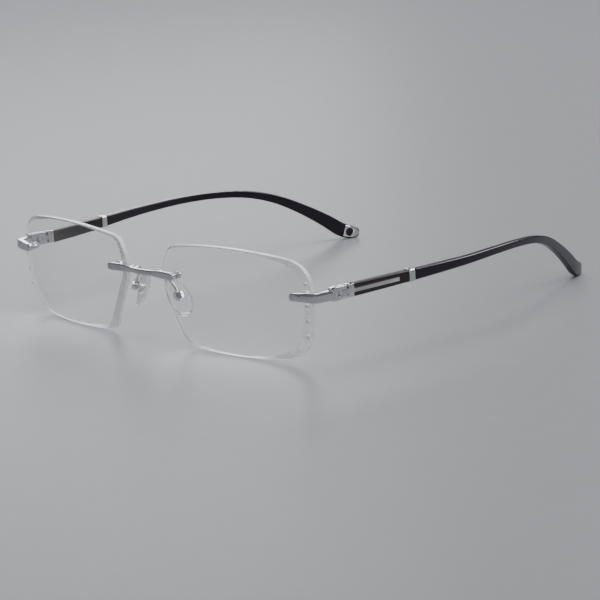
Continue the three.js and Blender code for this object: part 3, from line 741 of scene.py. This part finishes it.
bridgeForm = {
    "half": 14.2, "z": 21.8, "thick": 1.3, "arch": 0.15, "bow": 0.9, "gap": 0.05,
    "padLength": 6.0, "padHeight": 2.3,  # the ends that lie on the lenses
    "neckHeight": 1.6, "neckSteepness": 2.2,
    "easing": 1.6, "easingSteps": 6, "easingLift": 0.02,
    "insets": (0.0, 0.06, 0.2, 0.4, 0.7, 1.1),  # sections that round off an end
    "endSize": 0.3, "endThickness": 0.6, "roundness": 0.55, "steps": 72, "nearby": 0.05,
    "lug": (0.9, 2.5, 1.4), "lugGap": 0.2, "lugRise": 0.1, "lugRim": 0.18, "sharpness": 40,
}


def eased(t):
    return t * t * (3 - 2 * t)


def bridgeStation(x):
    f = bridgeForm
    neckEnd = f["half"] - f["padLength"]
    reach = abs(x)
    lensFace = onFront(max(reach, neckEnd), f["z"]).y - f["gap"] - f["thick"] / 2
    inward = 1 - min(reach / neckEnd, 1)
    rise = math.cos(reach / f["half"] * math.pi / 2)
    neck = eased(min(1, inward * f["neckSteepness"]))
    height = f["padHeight"] + (f["neckHeight"] - f["padHeight"]) * neck
    at = Vector((x, lensFace - f["bow"] * eased(inward), f["z"] + f["arch"] * rise))
    return at, height


# The same line with its bends eased over a short stretch.
def easedStation(x):
    steps = bridgeForm["easingSteps"]
    count = 2 * steps + 1
    near = [bridgeStation(x + bridgeForm["easing"] * (k / steps - 1)) for k in range(count)]
    at = bridgeStation(x)[0]
    y = sum(p.y for p, _ in near) / count
    y = min(y, at.y + bridgeForm["easingLift"])
    return Vector((at.x, y, at.z)), sum(h for _, h in near) / count


def makeBridge():
    f = bridgeForm
    half, steps, nearby, endRound = f["half"], f["steps"], f["nearby"], f["insets"][-1]
    xs = [-half + inset for inset in f["insets"]]
    xs += [-(half - endRound) + 2 * (half - endRound) * k / steps for k in range(1, steps)]
    xs += [half - inset for inset in reversed(f["insets"])]
    rings = []
    for x in xs:
        at, height = easedStation(x)
        ahead, behind = min(x + nearby, half), max(x - nearby, -half)
        along = (easedStation(ahead)[0] - easedStation(behind)[0]).normalized()
        across = along.cross(upright).normalized()
        inset = min((half - abs(x)) / endRound, 1)
        roundedOff = math.sqrt(max(0, 1 - (1 - inset) ** 2))
        share = f["endSize"] + (1 - f["endSize"]) * roundedOff
        thick = f["thick"] * (f["endThickness"] + (1 - f["endThickness"]) * share)
        rings.append(oblong(at, across, upright, thick, height * share, f["roundness"]))
    bar = sweep("bridgeBar", rings)
    smooth(bar, f["sharpness"])
    lugEnd = lensCorners[0][0] - f["lugGap"]
    lugWidth, lugDepth, _ = f["lug"]
    lugY = bridgeStation(lugEnd)[0].y + lugDepth / 2
    added = []
    for side in (1, -1):
        flip = Vector((side, 1, 1))
        point, back = (v * flip for v in bridgeStud)
        span = (-studForm["sunk"], studForm["length"])
        values = (studForm["radius"], studForm["sides"], studForm["rim"])
        added.append(rod("bridgeStud", point, back, *span, *values))
        middle = Vector(((lugEnd - lugWidth / 2) * side, lugY, f["z"] + f["lugRise"]))
        added.append(boxPiece("lug", middle, squareOn, f["lug"], f["lugRim"]))
    for other in added:
        smooth(other, f["sharpness"])
    return joinInto(bar, added)


settle(makeBridge(), "bridge", "frame", "polished_metal")
print("bridge made")

padForm = {
    "centre": Vector((8.0, -66.7, 14.0)), "length": 13.2, "width": 7.5, "thick": 1.85,
    "raise": 0.27, "sides": 56,
    "eggShape": 0.16, "hollow": 0.012,  # narrower at one end, and curved along its length
    "layerEnds": 0.6, "layerTurn": 0.55, "sharpness": 35,
}
padLong = Vector((-0.44, -0.2, 0.87)).normalized()
padFace = Vector((-0.8, 0.42, -0.3))
padFace = (padFace - padLong * padFace.dot(padLong)).normalized()
padWide = padLong.cross(padFace)
padBack = padForm["raise"] - padForm["thick"] / 2
# height as a share of the thickness, and size of the outline there
padLayers = [
    (-0.5, 0.04), (-0.5, 0.3), (-0.5, 0.6), (-0.488, 0.72), (-0.44, 0.84), (-0.33, 0.93),
    (-0.16, 0.985), (0.0, 1.0), (0.15, 0.985), (0.28, 0.94), (0.37, 0.88), (0.4, 0.845),
    (0.375, 0.815), (0.34, 0.79), (0.37, 0.765), (0.44, 0.72), (0.48, 0.62), (0.5, 0.5),
    (0.515, 0.28), (0.52, 0.04),
]
coreForm = {
    "wide": 2.3, "long": 3.3, "span": (0.15, 0.7), "sides": 40, "rim": 0.1,
    "seatDeep": 0.75, "seatAhead": 2.0, "seatGap": 0.05,
    "collarRadius": 0.8, "collarSpan": (-0.25, 0.2), "collarSides": 32, "collarRim": 0.08,
    "tab": (0.86, 1.55, 1.55), "tabOut": 0.375, "tabRim": 0.12,
    "holeOut": 0.55, "holeSpan": (-2, 2), "holeRadius": 0.45, "holeSides": 24,
}
boxForm = {"behind": 0.75, "deep": 1.7}  # the box behind the pad
boxOut = -(padForm["thick"] / 2 + boxForm["behind"])


def inPad(wide, long, out):
    return padForm["centre"] + padWide * wide + padLong * long + padFace * out


# The pad's outline shrinks less in length than in width, down to a turn near the middle.
def lengthShare(scale):
    ends, turn = padForm["layerEnds"], padForm["layerTurn"]
    if scale >= turn:
        return 1 - (1 - scale) * ends
    return (1 - (1 - turn) * ends) * scale / turn


# Makes a round piece oval along the pad.
def stretchAlong(piece):
    middle = toFrame(padForm["centre"])
    stretch = Matrix.Scale(coreForm["long"] / coreForm["wide"], 4, padLong)
    piece.data.transform(Matrix.Translation(middle) @ stretch @ Matrix.Translation(-middle))


def makeNosePad():
    f = padForm
    rings = []
    for level, scale in padLayers:
        ring = []
        for k in range(f["sides"]):
            angle = 2 * math.pi * k / f["sides"]
            egg = 1 - f["eggShape"] * math.sin(angle)
            x = math.cos(angle) * egg * f["width"] * scale / 2
            y = math.sin(angle) * f["length"] * lengthShare(scale) / 2
            ring.append(inPad(x, y, level * f["thick"] - f["hollow"] * y * y + f["raise"]))
        rings.append(ring)
    piece = sweep("nosePad", rings)
    span = (padBack - coreForm["seatAhead"], padBack + coreForm["seatDeep"])
    radius = coreForm["wide"] / 2 + coreForm["seatGap"]
    cutter = rod("coreSeat", inPad(0, 0, 0), padFace, *span, radius, coreForm["sides"])
    stretchAlong(cutter)
    cutAway(piece, [cutter])
    smooth(piece, f["sharpness"])
    return piece


# An oval button set in the pad's back, with the tab that the screw goes through.
def makePadCore():
    f = coreForm
    middle = inPad(0, 0, 0)
    span = [padBack + out for out in f["span"]]
    button = rod("padCore", middle, padFace, *span, f["wide"] / 2, f["sides"], f["rim"])
    stretchAlong(button)
    span = [padBack + out for out in f["collarSpan"]]
    values = (f["collarRadius"], f["collarSides"], f["collarRim"])
    collar = rod("coreCollar", middle, padFace, *span, *values)
    tabMiddle = inPad(0, 0, boxOut - f["tabOut"])
    tab = boxPiece("coreTab", tabMiddle, (padWide, padLong, padFace), f["tab"], f["tabRim"])
    hole = inPad(0, 0, boxOut - f["holeOut"])
    values = (*f["holeSpan"], f["holeRadius"], f["holeSides"])
    cutAway(tab, [rod("tabHole", hole, padWide, *values)])
    piece = joinInto(button, [collar, tab])
    smooth(piece, padForm["sharpness"])
    return piece


settlePair(makeNosePad(), "nosePad", "pad", "clear_pad")
settlePair(makePadCore(), "padCore", "pad", "polished_metal")
padFixings = {"padBox": 0.12, "padScrew": 0.08}  # rims
for base, rim in padFixings.items():
    settleRefined(base, "frame", "polished_metal", rim)

wireForm = {
    "x": 4.7, "sunk": 0.15, "radius": 0.44, "sides": 20, "steps": 64, "sharpness": 40,
    "bends": ((0, 0, 0), (0, 1.6, 0.1), (0.4, 3.4, -0.1), (1.5, 4.9, -1.3)),  # from the bridge
    "ends": ((3.4, 1.1), (1.3, 0.85)),  # along the pad, and into the box
}


def makePadArm():
    f = wireForm
    x, z = f["x"], bridgeForm["z"]
    y = bridgeStation(x)[0].y + bridgeForm["thick"] / 2 + f["sunk"]
    line = [(x + out, y + back, z + rise) for out, back, rise in f["bends"]]
    boxBack = boxOut - boxForm["deep"]
    line += [tuple(inPad(0, long, boxBack + out)) for long, out in f["ends"]]
    steps = f["steps"]
    spots = [Vector(through(line, k / steps)) for k in range(steps + 1)]
    across = Vector((1, 0, 0))
    rings = []
    for k, spot in enumerate(spots):
        along = (spots[min(k + 1, steps)] - spots[max(k - 1, 0)]).normalized()
        across = (across - along * across.dot(along)).normalized()
        rings.append(roundSection(spot, across, along.cross(across), f["radius"], f["sides"]))
    piece = sweep("padArm", rings)
    smooth(piece, f["sharpness"])
    return piece


settlePair(makePadArm(), "padArm", "frame", "polished_metal")
print("nose pads and their arms made")

hingeParts = {  # body, rim, its steps, and the sharpness that gets one
    "endpiece": ("frame", 0.11, 3, 24),
    "hingeScrew": ("frame", 0.05),
    "templeJoint": ("temple", 0.11, 3, 24),
    "inlay": ("temple", 0.05, 2),
}
for base, (body, *rim) in hingeParts.items():
    settleRefined(base, body, "polished_metal", *rim)
print("endpieces and hinges made")

# x, y, z, width, height
templeStations = [
    (65.35, -52.1, 20.85, 2.5, 4.1), (66.6, -38.5, 21.0, 2.5, 3.85),
    (67.65, -27.5, 21.15, 2.5, 3.45), (68.8, -16, 21.45, 2.4, 3.0),
    (69.3, -5, 21.65, 2.3, 2.6), (68.5, 9, 21.85, 2.2, 2.3), (66.3, 23, 21.4, 2.1, 2.2),
    (63.3, 35, 19.95, 2.1, 2.4), (60.0, 45, 17.0, 2.1, 2.95), (56.7, 54.5, 12.3, 2.1, 3.6),
    (53.9, 62.5, 7.4, 2.1, 4.35), (51.7, 68.8, 3.1, 2.1, 4.8), (50.3, 72.3, 1.9, 2.0, 4.4),
    (49.5, 74.2, 1.5, 1.7, 3.1), (49.2, 74.9, 1.4, 1.3, 1.6),
]
templeForm = {
    "start": -52.05, "ringStart": -30.1, "ringEnd": -27.8, "corner": 0.42, "gap": 0.05,
    "spigot": 3.5, "spigotScale": 0.55, "spigotGap": 0.1,
    "pole": 0.1,  # size of the small section that closes an end
    "ends": ((0, -0.3), (0.05, -0.1), (0.16, 0)),  # inset and growth of sections at an end
    "nearby": 0.0005, "searches": 40, "sharpness": 32,
}


def lineAt(share):
    return Vector(through([s[:3] for s in templeStations], share))


def sizeAt(share):
    return through([s[3:] for s in templeStations], share)


def shareAt(y):
    low, high = 0.0, 1.0
    for _ in range(templeForm["searches"]):
        middle = (low + high) / 2
        if lineAt(middle).y < y:
            low = middle
        else:
            high = middle
    return (low + high) / 2


def placeAt(share):
    ahead, behind = min(share + templeForm["nearby"], 1), max(share - templeForm["nearby"], 0)
    along = (lineAt(ahead) - lineAt(behind)).normalized()
    across = along.cross(upright).normalized()
    return lineAt(share), along, across, across.cross(along).normalized()


def templeSection(y, scale=1.0, grow=0.0, corner=templeForm["corner"]):
    share = shareAt(y)
    at, _, across, up = placeAt(share)
    width, height = sizeAt(share)
    return oblong(at, across, up, width * scale + grow, height * scale + grow, corner)


# Sections that round off an end, from the end inwards.
def softEnd(y, way, ends=templeForm["ends"], grow=0.0, corner=templeForm["corner"]):
    return [templeSection(y + way * inset, 1, grow + thinner, corner) for inset, thinner in ends]


frontForm = {
    "tangRadius": 0.61, "tangLength": 9.15, "tangPoint": 0.08, "tangAim": 9.0, "steps": 44,
    "inlayEnd": 18.06, "inlaySteps": 8, "inlayAhead": 1.0,
    "groove": ((-0.36, -0.7), (2, -0.7), (2, 0.7), (-0.36, 0.7)),  # out from the face, and up
}


# The groove for the inlay starts ahead of the piece, so that it is open at the front.
def makeInlayGroove(start):
    f = frontForm
    rings = []
    for k in range(f["inlaySteps"] + 1):
        share = shareAt(start + f["inlayEnd"] * k / f["inlaySteps"]) if k else 0.0
        at, along, across, up = placeAt(share)
        half = sizeAt(share)[0] / 2
        if k == 0:
            at = at - along * f["inlayAhead"]
        rings.append([at + across * (half + out) + up * rise for out, rise in f["groove"]])
    return sweep("inlayGroove", rings)


def makeTempleFront():
    t, f = templeForm, frontForm
    start, end = t["start"], t["ringStart"] - t["gap"]
    at, _, across, up = placeAt(shareAt(start))
    tangWay = (lineAt(shareAt(start + f["tangAim"])) - at).normalized()
    tangEnd = at + tangWay * f["tangLength"]
    bore = ((tangEnd, f["tangPoint"]), (tangEnd, f["tangRadius"]), (at, f["tangRadius"]))
    rings = [circleLike(spot, across, up, radius) for spot, radius in bore] + softEnd(start, 1)
    inset = t["ends"][-1][0]
    length = end - start - 2 * inset
    ys = [start + inset + length * k / f["steps"] for k in range(1, f["steps"])]
    rings += [templeSection(y) for y in ys] + softEnd(end, -1)[::-1]
    socketEnd = end - t["spigot"] - t["spigotGap"]
    rings += [templeSection(y, t["spigotScale"], t["spigotGap"]) for y in (end, socketEnd)]
    rings += [templeSection(socketEnd, t["pole"])]
    piece = sweep("templeFront", rings)
    cutAway(piece, [makeInlayGroove(start)])
    smooth(piece, t["sharpness"])
    piece.data.materials.append(frontPlastic)
    return piece


ringForm = {
    "proud": 0.4, "corner": 0.5, "steps": 6,
    "ends": ((0, -0.25), (0.05, -0.08), (0.18, 0)),
}


def makeTempleRing():
    t, f = templeForm, ringForm
    start, end, corner = t["ringStart"], t["ringEnd"], f["corner"]
    inset = f["ends"][-1][0]
    length = end - start - 2 * inset
    ys = [start + inset + length * k / f["steps"] for k in range(1, f["steps"])]
    bore = [templeSection(y, t["spigotScale"], t["spigotGap"]) for y in (start, end, start)]
    rings = bore[:1] + softEnd(start, 1, f["ends"], f["proud"], corner)
    rings += [templeSection(y, 1, f["proud"], corner) for y in ys]
    rings += softEnd(end, -1, f["ends"], f["proud"], corner)[::-1] + bore[1:]
    piece = sweep("templeRing", rings, closed=True)
    smooth(piece, t["sharpness"])
    return piece


armForm = {
    "steps": 120, "tipSteps": 18, "turn": 71.5, "end": 74.87,
    "roundFrom": 0.95, "leastSize": 0.04,  # share of the tip's reach, and of its section squared
    "spigotRim": 0.1, "spigotThinner": -0.12,
    "groundMiddle": Vector((52, 70, -5)), "groundSize": (40, 40, 10),  # all below the floor
}
tipForm = {
    "plateCentre": 70.6, "sunk": 0.4, "gap": 0.05, "cutOut": 3,
    "front": -1.35, "turn": 1.6, "end": 4.4, "top": -2.1, "bottom": 1.85, "point": -0.35,
    "topDrop": 0.05, "bottomRise": 0.1, "topBend": (0.5, 0.2), "bottomBend": (0.4, 0.35),
    "steps": 8,
}


# The plate's outline along the tip and down it, with its rounded far end.
def tipOutline(grow):
    f = tipForm
    front, turn, end = f["front"] - grow, f["turn"], f["end"] + grow
    top, bottom = f["top"] - grow, f["bottom"] + grow
    point = Vector((end, f["point"]))
    (topIn, topDown), (bottomIn, bottomUp) = f["topBend"], f["bottomBend"]
    upper = (Vector((turn, top + f["topDrop"])), Vector((end - topIn, top + topDown)), point)
    lower = (
        point, Vector((end - bottomIn, bottom - bottomUp)), Vector((turn, bottom - f["bottomRise"]))
    )
    steps = f["steps"]
    outline = [Vector((front, top))] + [bend(*upper, k / steps) for k in range(steps + 1)]
    outline += [bend(*lower, k / steps) for k in range(1, steps + 1)]
    return outline + [Vector((front, bottom))]


def makeTipSeat():
    share = shareAt(tipForm["plateCentre"])
    at, along, across, _ = placeAt(share)
    inward = -across
    seat = at + inward * (sizeAt(share)[0] / 2 - tipForm["sunk"])
    down = inward.cross(along)
    outline = [seat + along * p.x + down * p.y for p in tipOutline(tipForm["gap"])]
    lifts = (0, tipForm["cutOut"])
    return sweep("tipSeat", [[p + inward * lift for p in outline] for lift in lifts])


def makeTempleArm():
    t, f = templeForm, armForm
    start, back = t["ringEnd"] + t["gap"], t["ringStart"] - t["spigot"]
    inset = t["ends"][-1][0]
    rings = [templeSection(back, t["pole"])]
    rings += [templeSection(back, t["spigotScale"], f["spigotThinner"])]
    rings += [templeSection(y, t["spigotScale"]) for y in (back + f["spigotRim"], start)]
    rings += softEnd(start, 1)
    length = f["turn"] - start - inset
    for k in range(1, f["steps"] + 1):
        rings.append(templeSection(start + inset + length * (k / f["steps"])))
    for k in range(1, f["tipSteps"] + 1):  # closer together as the tip rounds off
        reach = math.sin(k / f["tipSteps"] * math.pi / 2)
        rounding = max(0, (reach - f["roundFrom"]) / (1 - f["roundFrom"]))
        scale = math.sqrt(max(f["leastSize"], 1 - rounding**2))
        rings.append(templeSection(f["turn"] + (f["end"] - f["turn"]) * reach, scale))
    piece = sweep("templeArm", rings)
    ground = boxPiece("ground", f["groundMiddle"], squareOn, f["groundSize"])
    cutAway(piece, [makeTipSeat(), ground])
    smooth(piece, t["sharpness"])
    return piece


settlePair(makeTempleFront(), "templeFront", "temple", "black_plastic")
settlePair(makeTempleRing(), "templeRing", "temple", "polished_metal")
settlePair(makeTempleArm(), "templeArm", "temple", "black_plastic")
tipParts = {"tipPlate": (0.08, "polished_metal"), "tipDot": (0.1, "black_plastic")}
for base, (rim, slot) in tipParts.items():
    settleRefined(base, "temple", slot, rim)
print("temples made")

floorForm = {
    "size": 6, "height": -0.0002, "grain": 300.0, "specular": 0.35,
    "pale": (0.33, 0.333, 0.352), "shade": (0.308, 0.311, 0.33), "roughness": (0.38, 0.5),
}


def makeFloor():
    f = floorForm
    clearSelection()
    bpy.ops.mesh.primitive_plane_add(size=f["size"], location=(0, 0, f["height"]))
    floor = bpy.context.object
    floor.name = "studioFloor"
    finish, tree, shader, _ = newFinish("paleTabletop", {"Specular IOR Level": f["specular"]})
    grain = useGroup(tree, mouldedGrain, {"Grain Size": f["grain"]})
    colourSocket, roughSocket = shader.inputs["Base Color"], shader.inputs["Roughness"]
    betweenColours(tree, grain.outputs["Waves"], f["pale"], f["shade"], colourSocket)
    between(tree, grain.outputs["Grain"], *f["roughness"], roughSocket)
    floor.data.materials.append(finish)


# place, aim and size in metres, power in watts, tint
lamps = {
    "overheadSoftbox": ((-0.1, -0.05, 0.7), (0, 0, 0), (0.5, 0.35), 2.4, (1, 1, 1)),
    "backSoftbox": ((0.15, 0.75, 0.62), (0, 0, 0.01), (1.1, 0.35), 7.5, (1, 1, 1)),
    "leftWindow": ((-0.75, 0.5, 0.3), (0, 0, 0.01), (0.5, 0.3), 2.0, (0.96, 0.98, 1.0)),
    "rightStrip": ((0.8, -0.1, 0.3), (0, 0, 0.02), (0.14, 0.5), 2.0, (1, 1, 1)),
}
airForm = {"colour": (0.8, 0.84, 0.92), "strength": 0.18}


def softLight(name, place, aim, size, power, tint):
    lamp = bpy.data.lights.new(name, "AREA")
    lamp.shape = "RECTANGLE"
    lamp.size, lamp.size_y = size
    lamp.energy = power
    lamp.color = tint
    holder = bpy.data.objects.new(name, lamp)
    bpy.context.scene.collection.objects.link(holder)
    holder.location = place
    holder.rotation_euler = (Vector(aim) - Vector(place)).to_track_quat("-Z", "Y").to_euler()


def makeAir():
    world = bpy.data.worlds.new("studioAir")
    world.use_nodes = True
    air = world.node_tree.nodes["Background"]
    air.inputs["Color"].default_value = (*airForm["colour"], 1)
    air.inputs["Strength"].default_value = airForm["strength"]
    bpy.context.scene.world = world


cameraForm = {
    "azimuth": 44.201, "elevation": 13.329, "roll": -1.991,  # degrees
    "target": Vector((2.549, -8.596, 0.494)), "distance": 0.916591,  # millimetres, and metres
    "lens": 172.814, "sensor": 36.0, "nearest": 0.05, "farthest": 20,
}


def makeCamera():
    f = cameraForm
    azimuth, elevation, roll = (math.radians(f[key]) for key in ("azimuth", "elevation", "roll"))
    level = math.cos(elevation)
    back = Vector((math.sin(azimuth) * level, -math.cos(azimuth) * level, math.sin(elevation)))
    right = (-back).cross(upright).normalized()
    up = right.cross(-back)
    tilted = right * math.cos(roll) + up * math.sin(roll)
    top = up * math.cos(roll) - right * math.sin(roll)
    lensData = bpy.data.cameras.new("portraitCamera")
    lensData.sensor_width = f["sensor"]
    lensData.lens = f["lens"]
    lensData.clip_start, lensData.clip_end = f["nearest"], f["farthest"]
    camera = bpy.data.objects.new("portraitCamera", lensData)
    bpy.context.scene.collection.objects.link(camera)
    turn = Matrix((tilted, top, back)).transposed().to_4x4()
    place = f["target"] * millimetre + back * f["distance"]
    camera.matrix_world = Matrix.Translation(place) @ turn
    bpy.context.scene.camera = camera


makeFloor()
for name, values in lamps.items():
    softLight(name, *values)
makeAir()
makeCamera()
print("studio and camera made")
